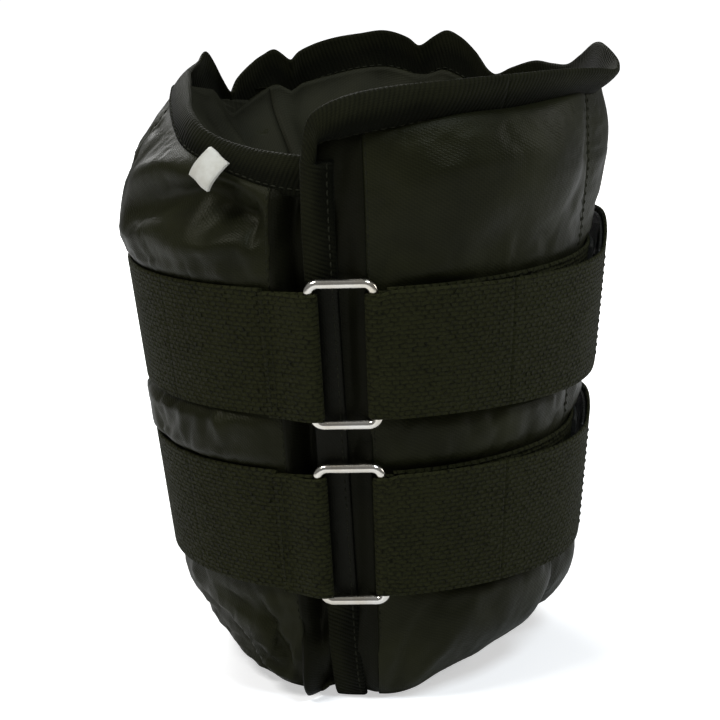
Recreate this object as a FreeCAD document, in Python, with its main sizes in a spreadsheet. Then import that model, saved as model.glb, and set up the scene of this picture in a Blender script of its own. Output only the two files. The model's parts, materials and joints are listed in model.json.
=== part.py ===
"""Wrap-on sandbag: five sand-filled pads in a nylon cuff, closed by two webbing straps through wire rings.

Millimetres, +Z up. The cuff stands on z = 0 round the origin and is a cone, wider at the top. Its closure faces -Y.
Angles round the cuff run from -Y towards +X, so +X is at 90 degrees. Each pad is a sector of revolution, and
neighbouring pads hinge on the sewn line between them, which lies on the generator at the pads' common angle.
"""

import FreeCAD, Part
import Sketcher
import os

doc = FreeCAD.newDocument("Sandbag")

# ---------------------------------------------------------------- driving dimensions

DIMENSIONS = [
    ("height", 240, "overall height"),
    ("base_radius", 75.5, "outer face of the cover at z = 0"),
    ("taper", 0.1, "radius gained per millimetre of height"),
    ("lean", 5.7106, "angle of the cone's side, the arctangent of taper"),
    ("pad_thickness", 38, "outer face to inner face of a pad"),
    ("first_seam", 5.5, "angle where the right front pad starts"),
    ("pad_pitch", 67.7, "angle taken by one pad"),
    ("side_wall", 0.7, "angle taken by the cloth at each side of a pad"),
    ("seam_clearance", 0.2, "angle left free at each side of a pad"),
    ("cloth", 0.8, "cover and lining thickness"),
    ("film", 0.4, "inner pouch thickness"),
    ("slack", 0.3, "clearance between one layer and the next"),
    ("pad_foot", 3.6, "height of the pad's underside"),
    ("edge_chamfer", 7, "rounding of a pad's outer edges, cut as a chamfer"),
    ("top_seam", 220, "height where cover and lining are sewn together"),
    ("top_slope", 26, "drop of the lining from the top seam to its inner face"),
    ("flange_inset", 6, "top flange, inwards from the cover's face"),
    ("foot_flange", 12, "width of the flange folded under the pads"),
    ("tape", 0.8, "binding tape thickness"),
    ("tape_cover", 14, "width of binding tape seen on one side"),
    ("right_flap_end", -8, "angle where the right flap's cloth ends"),
    ("right_flap_inset", 2, "right flap, inwards from the cover's face"),
    ("left_flap_end", 3, "angle where the left flap's cloth ends"),
    ("left_flap_inset", 8, "left flap, inwards from the cover's face"),
    ("flap_foot", 6, "height where the flaps' cloth starts"),
    ("webbing", 1.5, "webbing thickness"),
    ("webbing_width", 50, "webbing width"),
    ("webbing_in_ring", 47.5, "webbing width where it is bunched round a ring bar"),
    ("lower_strap", 49, "height of the lower strap's bottom edge"),
    ("upper_strap", 121, "height of the upper strap's bottom edge"),
    ("strap_gap", 0.2, "cover to webbing"),
    ("strap_split", 1.4, "angle between a seam and the end of a strap segment"),
    ("tail_split", 3.8, "angle between a seam and the end of a tail segment"),
    ("tail_end", 112, "angle where the strap tails end"),
    ("wire", 3.8, "ring wire diameter"),
    ("wire_clearance", 0.1, "webbing to ring wire"),
    ("ring_window_width", 20, "ring, between its long bars"),
    ("ring_window_length", 51, "ring, between its short bars"),
    ("ring_corner", 3.5, "corner radius of the ring, on the wire's centre line"),
    ("tab_length", 17, "ring bar to the stitched end of its tab"),
    ("tab_turn", 11.5, "angle between a tab and the ring"),
    ("tab_sewn", 3, "length of the tab's stitched end"),
    ("bight_leg", 1.4, "ring bar to the end of the strap's bight"),
    ("bight_turn", 8, "angle between the bight's legs and the ring"),
    ("patch_start", 81, "angle where the hook and loop patches start"),
    ("hook_end", 109, "angle where the hook patches end"),
    ("loop_end", 134, "angle where the loop patches end"),
    ("loop_pile", 1.6, "loop patch thickness"),
    ("hook_pile", 1.8, "hook patch thickness"),
    ("label_width", 10, "care label"),
    ("label_length", 14, "care label, folded"),
    ("label_thickness", 0.7, "care label, folded"),
    ("label_angle", -27, "angle of the care label"),
    ("label_foot", 193, "height of the care label's lower end"),
    ("label_tilt", 28, "lean of the care label, sideways"),
]

sheet = doc.addObject("Spreadsheet::Sheet", "Sizes")
for row, (alias, value, note) in enumerate(DIMENSIONS, start=1):
    sheet.set(f"A{row}", note)
    sheet.set(f"B{row}", str(value))
    sheet.setAlias(f"B{row}", alias)
doc.recompute()

# ---------------------------------------------------------------- expressions shared by several parts


def cover_face(height, offset="0"):
    """Radius of the cover's outer face at a height, plus an offset."""
    return f"(Sizes.base_radius + Sizes.taper * ({height}) + ({offset}))"


RING_HALF = "((Sizes.ring_window_width + Sizes.wire) / 2)"
STRAP_RISE = "(Sizes.webbing_width * cos(Sizes.lean))"
STRAP_OUT = "(Sizes.strap_gap + Sizes.webbing)"
BAR_OUT = f"({STRAP_OUT} + Sizes.wire_clearance + Sizes.wire / 2)"
TAIL_IN = f"({BAR_OUT} + Sizes.wire / 2 + Sizes.wire_clearance)"
SEAM_TOP = "Sizes.top_seam"
CAVITY_IN = "(Sizes.pad_thickness - Sizes.cloth)"


def seam_angle(number):
    """Angle of a sewn line; line 0 is the free side of the right front pad."""
    return f"(Sizes.first_seam + {number} * Sizes.pad_pitch)"


def strap_start(strap):
    """Angle where a strap leaves the bight at its ring."""
    middle = cover_face(f"Sizes.{strap} + {STRAP_RISE} / 2", BAR_OUT)
    return f"(asin(({RING_HALF} + Sizes.bight_leg) / {middle}) / 1 deg + 0.4)"


# ---------------------------------------------------------------- modelling helpers


def number(owner, expression):
    value = owner.evalExpression(expression)
    return float(getattr(value, "Value", value))


def new_body(label):
    body = doc.addObject("PartDesign::Body", label)
    body.Label = label
    return body


def new_sketch(body, name, role):
    sketch = body.newObject("Sketcher::SketchObject", f"{name}_{body.Name}")
    plane = next(f for f in body.Origin.OriginFeatures if f.Role == role)
    sketch.AttachmentSupport = (plane, "")
    sketch.MapMode = "FlatFace"
    return sketch


def pin(sketch, kind, element, expression):
    """Holds one coordinate of a sketch point at an expression, on either side of the sketch's origin."""
    value = number(sketch, expression)
    ends = (-1, 1, *element) if value >= 0 else (*element, -1, 1)
    index = sketch.addConstraint(Sketcher.Constraint(kind, *ends, abs(value)))
    sketch.setExpression(f"Constraints[{index}]", expression if value >= 0 else f"-({expression})")


def outline(sketch, corners, arcs=()):
    """A closed outline through corners, each a pair of expressions.

    arcs maps the number of a side to its arc: (axis of the pinned centre coordinate, its expression, half turn
    direction). The side runs from its corner to the next one, counter-clockwise if the direction is 1.
    """
    arcs = dict(arcs)
    first = sketch.GeometryCount
    points = [FreeCAD.Vector(number(sketch, x), number(sketch, y), 0) for x, y in corners]
    count = len(points)
    ends = []
    for side in range(count):
        start, stop = points[side], points[(side + 1) % count]
        if side not in arcs:
            sketch.addGeometry(Part.LineSegment(start, stop), False)
            ends.append((1, 2))
            continue
        centre_x, centre_y, turn = arcs[side]
        centre = FreeCAD.Vector(number(sketch, centre_x), number(sketch, centre_y), 0)
        middle = centre + arc_middle(start - centre, stop - centre, turn)
        sketch.addGeometry(Part.Arc(start, middle, stop), False)
        ends.append((1, 2) if turn > 0 else (2, 1))
    for side in range(count):
        following = (side + 1) % count
        sketch.addConstraint(
            Sketcher.Constraint(
                "Coincident", first + side, ends[side][1], first + following, ends[following][0]
            )
        )
        pin(sketch, "DistanceX", (first + side, ends[side][0]), corners[side][0])
        pin(sketch, "DistanceY", (first + side, ends[side][0]), corners[side][1])
    for side, (centre_x, centre_y, turn) in arcs.items():
        level = points[side].y == points[(side + 1) % count].y
        if level:
            pin(sketch, "DistanceY", (first + side, 3), centre_y)
        else:
            pin(sketch, "DistanceX", (first + side, 3), centre_x)


def arc_middle(start, stop, turn):
    """The point halfway round an arc about the origin from start to stop."""
    between = start + stop
    if between.Length < 1e-6:
        between = FreeCAD.Vector(-start.y * turn, start.x * turn, 0)
    return between.normalize() * start.Length


def revolve(body, corners, sweep, name="profile", kind="Revolution"):
    """Revolves an outline of (radius, height) corners round Z, as material or as a cut."""
    sketch = new_sketch(body, name, "XZ_Plane")
    outline(sketch, corners)
    feature = body.newObject(f"PartDesign::{kind}", f"{name}_{kind}_{body.Name}")
    feature.Profile = sketch
    feature.ReferenceAxis = (sketch, ["V_Axis"])
    feature.setExpression("Angle", sweep)
    sketch.Visibility = False
    return feature


def turn_to(body, angle):
    """Turns a body made from the +X side so that it starts at an angle round the cuff."""
    body.Placement = FreeCAD.Placement(FreeCAD.Vector(), FreeCAD.Rotation(FreeCAD.Vector(0, 0, 1), 1))
    body.setExpression("Placement.Rotation.Angle", f"{angle} - 90")


def sector(label, corners, start, stop):
    """A solid of revolution between two angles round the cuff."""
    body = new_body(label)
    revolve(body, corners, f"({stop}) - ({start})")
    turn_to(body, start)
    return body


def band(bottom, top, inner, outer):
    """Corners of a layer that lies parallel to the cover's face, between two heights and two offsets."""
    return [
        (cover_face(bottom, inner), bottom),
        (cover_face(bottom, outer), bottom),
        (cover_face(top, outer), top),
        (cover_face(top, inner), top),
    ]


def strap_band(strap, inner, outer):
    bottom = f"Sizes.{strap}"
    return band(bottom, f"({bottom} + {STRAP_RISE})", inner, outer)


# ---------------------------------------------------------------- pads

PADS = ["right_front", "right_back", "back", "left_back", "left_front"]


def hollow(body, corners, margin, name):
    """Cuts a cavity out of a sector, leaving a wall of the margin's angle at both sides."""
    groove = revolve(body, corners, f"Sizes.pad_pitch - 2 * ({margin})", name, "Groove")
    sketch = groove.Profile[0]
    sketch.AttachmentOffset = FreeCAD.Placement(
        FreeCAD.Vector(), FreeCAD.Rotation(FreeCAD.Vector(0, 1, 0), 1)
    )
    sketch.setExpression("AttachmentOffset.Rotation.Angle", f"{margin} - Sizes.seam_clearance")


def outer_cover(pad, index):
    """Outer wall, underside, shoulder, both side walls and the outer layer of the top flange."""
    body = new_body(f"outer_cover_{pad}")
    shoulder = f"({SEAM_TOP} - Sizes.edge_chamfer)"
    foot = "Sizes.pad_foot"
    knee = "(Sizes.pad_foot + Sizes.edge_chamfer)"
    inside = "-Sizes.pad_thickness + Sizes.cloth + Sizes.slack"
    lining_top = f"({SEAM_TOP} - Sizes.top_slope)"
    revolve(
        body,
        [
            (cover_face(foot, inside), foot),
            (cover_face(foot, "-Sizes.edge_chamfer"), foot),
            (cover_face(knee), knee),
            (cover_face(shoulder), shoulder),
            (cover_face(SEAM_TOP, "-Sizes.flange_inset"), SEAM_TOP),
            (cover_face("Sizes.height - 1.2", "-Sizes.flange_inset"), "Sizes.height - 1.2"),
            (cover_face("Sizes.height - 1.2", "-Sizes.flange_inset - Sizes.cloth"), "Sizes.height - 1.2"),
            (cover_face(SEAM_TOP, "-Sizes.flange_inset - Sizes.cloth"), SEAM_TOP),
            (cover_face(lining_top, inside), lining_top),
        ],
        "Sizes.pad_pitch - 2 * Sizes.seam_clearance",
    )
    roof = f"({SEAM_TOP} - 2 * Sizes.cloth)"
    hollow(
        body,
        [
            (cover_face(foot, "-Sizes.pad_thickness - 5"), f"({foot} + Sizes.cloth)"),
            (cover_face(foot, "-Sizes.edge_chamfer"), f"({foot} + Sizes.cloth)"),
            (cover_face(knee, "-Sizes.cloth"), knee),
            (cover_face(shoulder, "-Sizes.cloth"), shoulder),
            (cover_face(SEAM_TOP, "-Sizes.flange_inset - Sizes.cloth"), roof),
            (cover_face(SEAM_TOP, "-Sizes.flange_inset - Sizes.cloth"), f"({SEAM_TOP} + 0.01)"),
            (cover_face(SEAM_TOP, "-Sizes.pad_thickness - 5"), f"({SEAM_TOP} + 0.01)"),
        ],
        "Sizes.side_wall",
        "cavity",
    )
    turn_to(body, f"{seam_angle(index)} + Sizes.seam_clearance")


def inner_lining(pad, index):
    """Inner wall, its slope up to the top seam and the inner layer of the top flange."""
    top = f"({SEAM_TOP} - Sizes.top_slope)"
    face = "-Sizes.pad_thickness"
    back = f"{face} + Sizes.cloth"
    flange_face = "-Sizes.flange_inset - 2 * Sizes.cloth - Sizes.slack"
    flange_back = "-Sizes.flange_inset - Sizes.cloth - Sizes.slack"
    fold_back = f"({SEAM_TOP} + Sizes.slack)"
    fold_face = f"({SEAM_TOP} + Sizes.cloth + Sizes.slack)"
    sector(
        f"inner_lining_{pad}",
        [
            (cover_face("Sizes.pad_foot", face), "Sizes.pad_foot"),
            (cover_face("Sizes.pad_foot", back), "Sizes.pad_foot"),
            (cover_face(top, back), top),
            (cover_face(fold_back, flange_back), fold_back),
            (cover_face("Sizes.height - 1.2", flange_back), "Sizes.height - 1.2"),
            (cover_face("Sizes.height - 1.2", flange_face), "Sizes.height - 1.2"),
            (cover_face(fold_face, flange_face), fold_face),
            (cover_face(f"({top} + Sizes.cloth)", face), f"({top} + Sizes.cloth)"),
        ],
        f"{seam_angle(index)} + Sizes.seam_clearance",
        f"{seam_angle(index + 1)} - Sizes.seam_clearance",
    )


def filling(shrink):
    """Outline of what fills a pad, drawn in from the cover and the lining by a distance."""
    low = f"(Sizes.pad_foot + Sizes.cloth + {shrink})"
    knee = f"(Sizes.pad_foot + Sizes.edge_chamfer + {shrink})"
    shoulder = f"({SEAM_TOP} - Sizes.edge_chamfer - {shrink} - Sizes.cloth)"
    lining_top = f"({SEAM_TOP} - Sizes.top_slope - 2 * {shrink} - 2 * Sizes.cloth)"
    inside = f"-Sizes.pad_thickness + Sizes.cloth + {shrink}"
    outside = f"-Sizes.cloth - {shrink}"
    crown = f"({SEAM_TOP} - 2 * Sizes.cloth - 2 * {shrink} - 3)"
    return [
        (cover_face(low, inside), low),
        (cover_face(low, f"-Sizes.edge_chamfer - {shrink}"), low),
        (cover_face(knee, outside), knee),
        (cover_face(shoulder, outside), shoulder),
        (cover_face(crown, f"-Sizes.flange_inset - Sizes.cloth - {shrink} - 2"), crown),
        (cover_face(lining_top, inside), lining_top),
    ]


def sand_pouch(pad, index):
    """Sealed inner bag: a closed film round the sand."""
    body = new_body(f"sand_pouch_{pad}")
    margin = "(Sizes.side_wall + 0.4)"
    revolve(body, filling("Sizes.slack"), f"Sizes.pad_pitch - 2 * {margin}")
    groove = revolve(
        body,
        filling("(Sizes.slack + Sizes.film)"),
        f"Sizes.pad_pitch - 2 * {margin} - 2 * 0.4",
        "cavity",
        "Groove",
    )
    sketch = groove.Profile[0]
    sketch.AttachmentOffset = FreeCAD.Placement(
        FreeCAD.Vector(), FreeCAD.Rotation(FreeCAD.Vector(0, 1, 0), 0.4)
    )
    turn_to(body, f"{seam_angle(index)} + {margin}")


def sand_fill(pad, index):
    margin = "(Sizes.side_wall + 0.9)"
    sector(
        f"sand_fill_{pad}",
        filling("(Sizes.slack + Sizes.film + 0.1)"),
        f"{seam_angle(index)} + {margin}",
        f"{seam_angle(index + 1)} - {margin}",
    )


def top_binding(pad, index):
    """Folded tape over the top flange of one pad."""
    bottom = "(Sizes.height - Sizes.tape_cover)"
    under = "(Sizes.height - Sizes.tape)"
    outer = "-Sizes.flange_inset + 0.05"
    inner = "-Sizes.flange_inset - 2 * Sizes.cloth - Sizes.slack - 0.05"
    sector(
        f"top_binding_{pad}",
        [
            (cover_face(bottom, f"{inner} - Sizes.tape"), bottom),
            (cover_face(bottom, inner), bottom),
            (cover_face(under, inner), under),
            (cover_face(under, outer), under),
            (cover_face(bottom, outer), bottom),
            (cover_face(bottom, f"{outer} + Sizes.tape"), bottom),
            (cover_face("Sizes.height", f"{outer} + Sizes.tape"), "Sizes.height"),
            (cover_face("Sizes.height", f"{inner} - Sizes.tape"), "Sizes.height"),
        ],
        f"{seam_angle(index)} + Sizes.seam_clearance",
        f"{seam_angle(index + 1)} - Sizes.seam_clearance",
    )


def bottom_binding(pad, index):
    """Taped bottom edge of cover and lining, folded flat under the pad. It is the foot the cuff stands on."""
    inner = "(Sizes.base_radius - Sizes.pad_thickness + 2)"
    outer = f"({inner} + Sizes.foot_flange)"
    sector(
        f"bottom_binding_{pad}",
        [
            (inner, "0"),
            (outer, "0"),
            (outer, "Sizes.pad_foot - Sizes.slack"),
            (inner, "Sizes.pad_foot - Sizes.slack"),
        ],
        f"{seam_angle(index)} + Sizes.seam_clearance",
        f"{seam_angle(index + 1)} - Sizes.seam_clearance",
    )


def strap_segment(strap, pad, index):
    """The part of a strap that is sewn to one pad."""
    start = f"{seam_angle(index)} + Sizes.strap_split"
    stop = f"{seam_angle(index + 1)} - Sizes.strap_split"
    if pad == "right_front":
        start = strap_start(strap)
    if pad == "left_front":
        middle = cover_face(f"Sizes.{strap} + {STRAP_RISE} / 2", BAR_OUT)
        reach = f"{RING_HALF} + Sizes.tab_length * cos(Sizes.tab_turn)"
        stop = f"360 - asin(({reach}) / {middle}) / 1 deg - 1.4"
    sector(f"{strap}_{pad}", strap_band(strap, "Sizes.strap_gap", STRAP_OUT), start, stop)


for index, pad in enumerate(PADS):
    outer_cover(pad, index)
    inner_lining(pad, index)
    sand_pouch(pad, index)
    sand_fill(pad, index)
    top_binding(pad, index)
    bottom_binding(pad, index)
    for strap in ("upper_strap", "lower_strap"):
        strap_segment(strap, pad, index)

# ---------------------------------------------------------------- flaps at the closure


def flap(name, inset, start, stop, bound_side):
    """Flat double cloth past the last pad, and the tape folded over its free edge."""
    outer = f"-Sizes.{inset}"
    inner = f"-Sizes.{inset} - 2 * Sizes.cloth"
    bottom, top = "Sizes.flap_foot", "(Sizes.height - 1.2)"
    sector(f"{name}_flap", band(bottom, top, inner, outer), start, stop)
    body = new_body(f"{name}_flap_binding")
    width = f"(Sizes.tape_cover / {cover_face('120')} * 180 / pi)"
    wrapped = f"({width} - 0.5)"
    revolve(
        body,
        band(
            "(Sizes.flap_foot - 1)",
            "Sizes.height",
            f"{inner} - 0.05 - Sizes.tape",
            f"{outer} + 0.05 + Sizes.tape",
        ),
        width,
    )
    slot = revolve(
        body,
        band("(Sizes.flap_foot - 3)", "(Sizes.height - Sizes.tape)", f"{inner} - 0.05", f"{outer} + 0.05"),
        wrapped,
        "slot",
        "Groove",
    )
    if bound_side == "start":
        sketch = slot.Profile[0]
        sketch.AttachmentOffset = FreeCAD.Placement(
            FreeCAD.Vector(), FreeCAD.Rotation(FreeCAD.Vector(0, 1, 0), 0.5)
        )
        turn_to(body, f"{start} - 0.55")
    else:
        turn_to(body, f"{stop} + 0.55 - {width}")


flap(
    "right",
    "right_flap_inset",
    "Sizes.right_flap_end",
    "(Sizes.first_seam - 0.2)",
    "start",
)
flap(
    "left",
    "left_flap_inset",
    f"({seam_angle(len(PADS))} - 360 + 0.2)",
    "Sizes.left_flap_end",
    "stop",
)

# ---------------------------------------------------------------- rings, tabs and bights


def stand_at_ring(body, strap):
    """Places a body drawn round the ring's centre, with its own Z up along the cone's front."""
    middle = f"(Sizes.{strap} + {STRAP_RISE} / 2)"
    sagitta = f"({RING_HALF} * {RING_HALF} / 2 / {cover_face(middle)})"
    body.Placement = FreeCAD.Placement(FreeCAD.Vector(0, -1, 1), FreeCAD.Rotation(FreeCAD.Vector(1, 0, 0), 1))
    body.setExpression("Placement.Rotation.Angle", "Sizes.lean")
    body.setExpression("Placement.Base.y", f"-({cover_face(middle, BAR_OUT)} - {sagitta})")
    body.setExpression("Placement.Base.z", middle)


def ring(strap, label):
    """Wire bent to a rectangle with round corners."""
    body = new_body(label)
    spine = new_sketch(body, "spine", "XZ_Plane")
    wide = RING_HALF
    tall = "((Sizes.ring_window_length + Sizes.wire) / 2)"
    bend = "Sizes.ring_corner"
    near_x, near_y = f"({wide} - {bend})", f"({tall} - {bend})"
    outline(
        spine,
        [
            (wide, f"-{near_y}"),
            (wide, near_y),
            (near_x, tall),
            (f"-{near_x}", tall),
            (f"-{wide}", near_y),
            (f"-{wide}", f"-{near_y}"),
            (f"-{near_x}", f"-{tall}"),
            (near_x, f"-{tall}"),
        ],
        {
            1: (near_x, near_y, 1),
            3: (f"-{near_x}", near_y, 1),
            5: (f"-{near_x}", f"-{near_y}", 1),
            7: (near_x, f"-{near_y}", 1),
        },
    )
    section = new_sketch(body, "section", "XY_Plane")
    section.addGeometry(
        Part.Circle(
            FreeCAD.Vector(number(section, wide), 0, 0),
            FreeCAD.Vector(0, 0, 1),
            number(section, "Sizes.wire / 2"),
        ),
        False,
    )
    pin(section, "DistanceX", (0, 3), wide)
    section.addConstraint(Sketcher.Constraint("PointOnObject", 0, 3, -1))
    across = section.addConstraint(Sketcher.Constraint("Diameter", 0, number(section, "Sizes.wire")))
    section.setExpression(f"Constraints[{across}]", "Sizes.wire")
    pipe = body.newObject("PartDesign::AdditivePipe", f"pipe_{body.Name}")
    pipe.Profile = section
    pipe.Spine = spine
    pipe.Mode = "Frenet"
    stand_at_ring(body, strap)


def webbing_loop(label, strap, corners, arcs, holes, turn, side):
    """Webbing round a ring bar, extruded over the strap's width. Its outline has the bar at its origin."""
    body = new_body(label)
    sketch = new_sketch(body, "loop", "XY_Plane")
    outline(sketch, corners, arcs)
    for hole, hole_arcs in holes:
        outline(sketch, hole, hole_arcs)
    sketch.AttachmentOffset = FreeCAD.Placement(
        FreeCAD.Vector(side, 0, 0), FreeCAD.Rotation(FreeCAD.Vector(0, 0, 1), 1)
    )
    sketch.setExpression("AttachmentOffset.Base.x", f"{side} * {RING_HALF}")
    sketch.setExpression("AttachmentOffset.Rotation.Angle", turn)
    pad = body.newObject("PartDesign::Pad", f"pad_{body.Name}")
    pad.Profile = sketch
    pad.Midplane = True
    pad.setExpression("Length", "Sizes.webbing_in_ring")
    stand_at_ring(body, strap)


GRIP = "(Sizes.wire / 2 + Sizes.wire_clearance)"
WRAP = f"({GRIP} + Sizes.webbing)"


def ring_tab(strap, label):
    """Closed loop of webbing that holds the ring's left bar and is sewn flat at its far end."""
    far, eye = "Sizes.tab_length", "(Sizes.tab_length - Sizes.tab_sewn)"
    webbing_loop(
        label,
        strap,
        [("0", f"-{WRAP}"), (far, f"-{WRAP}"), (far, WRAP), ("0", WRAP)],
        {3: ("0", "0", 1)},
        [([("0", f"-{GRIP}"), (eye, f"-{GRIP}"), (eye, GRIP), ("0", GRIP)], {3: ("0", "0", 1)})],
        "180 - Sizes.tab_turn",
        -1,
    )


def strap_bight(strap, label):
    """Where the strap turns back round the ring's right bar."""
    leg = "Sizes.bight_leg"
    webbing_loop(
        label,
        strap,
        [
            ("0", f"-{WRAP}"),
            (leg, f"-{WRAP}"),
            (leg, f"-{GRIP}"),
            ("0", f"-{GRIP}"),
            ("0", GRIP),
            (leg, GRIP),
            (leg, WRAP),
            ("0", WRAP),
        ],
        {3: ("0", "0", -1), 7: ("0", "0", 1)},
        [],
        "Sizes.bight_turn",
        1,
    )


def strap_tail(strap, name):
    """The free end of a strap, folded back from its ring over the right-hand pads, with its patches."""
    outer = f"({TAIL_IN} + Sizes.webbing)"
    seam = seam_angle(1)
    sector(
        f"{name}_tail_front",
        strap_band(strap, TAIL_IN, outer),
        strap_start(strap),
        f"{seam} - Sizes.tail_split",
    )
    sector(
        f"{name}_tail_end",
        strap_band(strap, TAIL_IN, outer),
        f"{seam} + Sizes.tail_split",
        "Sizes.tail_end",
    )
    sector(
        f"{name}_hook_patch",
        strap_band(strap, f"({TAIL_IN} - 0.05 - Sizes.hook_pile)", f"({TAIL_IN} - 0.05)"),
        "Sizes.patch_start",
        "Sizes.hook_end",
    )
    sector(
        f"{name}_loop_patch",
        strap_band(strap, f"({STRAP_OUT} + 0.05)", f"({STRAP_OUT} + 0.05 + Sizes.loop_pile)"),
        "Sizes.patch_start",
        "Sizes.loop_end",
    )


for strap, name in (("upper_strap", "upper"), ("lower_strap", "lower")):
    ring(strap, f"{name}_ring")
    ring_tab(strap, f"{name}_ring_tab")
    strap_bight(strap, f"{name}_strap_bight")
    strap_tail(strap, name)

# ---------------------------------------------------------------- care label


def care_label():
    """Small folded label that hangs from the left front pad's top seam."""
    body = new_body("care_label")
    sketch = new_sketch(body, "face", "XZ_Plane")
    half = "(Sizes.label_width / 2)"
    outline(sketch, [(f"-{half}", "0"), (half, "0"), (half, "Sizes.label_length"), (f"-{half}", "Sizes.label_length")])
    sketch.AttachmentOffset = FreeCAD.Placement(
        FreeCAD.Vector(), FreeCAD.Rotation(FreeCAD.Vector(0, 0, 1), 1)
    )
    sketch.setExpression("AttachmentOffset.Rotation.Angle", "Sizes.label_tilt")
    sketch.setExpression("AttachmentOffset.Base.z", cover_face("Sizes.label_foot", "2"))
    pad = body.newObject("PartDesign::Pad", "label_thickness")
    pad.Profile = sketch
    pad.setExpression("Length", "Sizes.label_thickness")
    body.Placement = FreeCAD.Placement(FreeCAD.Vector(0, 0, 1), FreeCAD.Rotation(FreeCAD.Vector(0, 0, 1), 1))
    body.setExpression("Placement.Base.z", "Sizes.label_foot")
    body.setExpression("Placement.Rotation.Angle", "Sizes.label_angle")


care_label()

# ---------------------------------------------------------------- check and export

doc.recompute()
bodies = [item for item in doc.Objects if item.TypeId == "PartDesign::Body"]
for item in doc.Objects:
    if "Invalid" in item.State or "Error" in item.State:
        raise RuntimeError(f"{item.Label} failed: {item.State} {item.getStatusString()}")
os.makedirs("parts", exist_ok=True)
for body in bodies:
    shape = body.Shape
    if shape.isNull() or not shape.isValid() or not shape.Solids:
        raise RuntimeError(f"{body.Label} has no valid solid")
for body in bodies:
    body.Shape.exportStep(f"parts/{body.Label}.step")
print(len(bodies), "parts")
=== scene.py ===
"""Looks of the wrap-round sandbag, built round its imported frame.

Lengths are in millimetres, and points of a mesh in metres. Angles go round the cuff in degrees from -Y towards
+X. The cuff is a cone whose radius grows with height, and cloth surfaces are grids over angle and height.
"""

import json
import math

import bmesh
import bpy
import numpy as np
from mathutils import Matrix, Vector


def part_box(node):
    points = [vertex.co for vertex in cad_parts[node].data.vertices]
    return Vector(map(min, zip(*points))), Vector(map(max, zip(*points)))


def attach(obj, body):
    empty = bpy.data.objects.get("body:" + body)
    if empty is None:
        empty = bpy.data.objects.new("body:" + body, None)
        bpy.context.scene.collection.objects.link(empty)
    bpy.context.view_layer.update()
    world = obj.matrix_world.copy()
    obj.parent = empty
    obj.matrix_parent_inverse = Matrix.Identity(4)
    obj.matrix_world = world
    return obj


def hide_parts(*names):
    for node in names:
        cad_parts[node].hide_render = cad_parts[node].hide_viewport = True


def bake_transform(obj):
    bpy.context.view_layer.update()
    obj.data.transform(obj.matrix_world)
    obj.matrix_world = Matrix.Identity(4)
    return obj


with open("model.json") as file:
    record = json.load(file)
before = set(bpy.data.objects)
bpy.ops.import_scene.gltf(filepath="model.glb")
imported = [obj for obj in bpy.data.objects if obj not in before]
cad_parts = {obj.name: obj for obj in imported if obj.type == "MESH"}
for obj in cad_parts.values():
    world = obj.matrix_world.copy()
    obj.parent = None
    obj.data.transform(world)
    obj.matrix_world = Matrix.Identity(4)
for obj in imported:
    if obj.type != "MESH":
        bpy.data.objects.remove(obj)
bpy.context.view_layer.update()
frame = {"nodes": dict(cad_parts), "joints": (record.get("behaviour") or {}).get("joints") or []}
JOINTS = {joint["name"]: joint for joint in frame["joints"]}

# ---- sizes read from the frame

PADS = ["right_front", "right_back", "back", "left_back", "left_front"]
SEAM_JOINTS = ["right_front_seam", "wrap_open", "left_back_seam", "left_front_seam"]


def angle_of(position):
    return math.degrees(math.atan2(position[0], -position[1])) % 360


SEAMS = [angle_of(JOINTS[name]["pos_m"]) for name in SEAM_JOINTS]
PITCH = SEAMS[1] - SEAMS[0]
FIRST, LAST = SEAMS[0] - PITCH, SEAMS[3] + PITCH
hinge_axis = JOINTS["wrap_open"]["axis"]
hinge_point = JOINTS["wrap_open"]["pos_m"]
TAPER = math.hypot(hinge_axis[0], hinge_axis[1]) / hinge_axis[2]
BASE = 1000 * (math.hypot(hinge_point[0], hinge_point[1]) - TAPER * hinge_point[2])
LEAN = math.atan(TAPER)
STRAPS = {name: [1000 * corner.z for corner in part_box(f"{name}_strap_back")] for name in ("upper", "lower")}
MIDDLES = [FIRST + (k + 0.5) * PITCH for k in range(5)]

# ---- sizes of the cloth, tape and webbing

# angles of the two flaps' bound edges, and how far past the cone each flap lies
RIGHT_EDGE, RIGHT_OFFSET = -8.0, -2.8
LEFT_EDGE, LEFT_OFFSET = 3.0, -8.8
BINDING_WIDTH = 12.5
BINDING_THICKNESS = 2.4
FOLD_ROOM = 1.0  # how far a binding's fold stands past the edge inside it
HEM = 3.5  # how far a top tape reaches below the pads' top seam
WEBBING_THICKNESS = 1.5
UV_RADIUS = 0.09  # turns angles into lengths of cloth, in metres

# ---- small maths


def smooth(x):
    x = np.clip(x, 0, 1)
    return x * x * (3 - 2 * x)


def look_up(table, x, column=1):
    """Smooth curve through a table's column over its first column, held level past both ends."""
    table = np.asarray(table, float)
    knots, values = table[:, 0], table[:, column]
    slopes = np.gradient(values, knots)
    x = np.clip(np.asarray(x, float), knots[0], knots[-1])
    i = np.clip(np.searchsorted(knots, x) - 1, 0, len(knots) - 2)
    h = knots[i + 1] - knots[i]
    t = (x - knots[i]) / h
    return (
        (1 + 2 * t) * (1 - t) ** 2 * values[i]
        + t * (1 - t) ** 2 * h * slopes[i]
        + t * t * (3 - 2 * t) * values[i + 1]
        + t * t * (t - 1) * h * slopes[i + 1]
    )


def join(*parts, axis=0):
    return np.concatenate(parts, axis)


def run_length(points):
    """Length along a line of points, from 0 at the first."""
    return join([0], np.cumsum(np.linalg.norm(np.diff(points, axis=0), axis=-1)))


def uv_grid(u, v):
    """Texture coordinates over a grid, from one list along each of its sides."""
    return np.stack(np.broadcast_arrays(u, v), -1)


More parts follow.
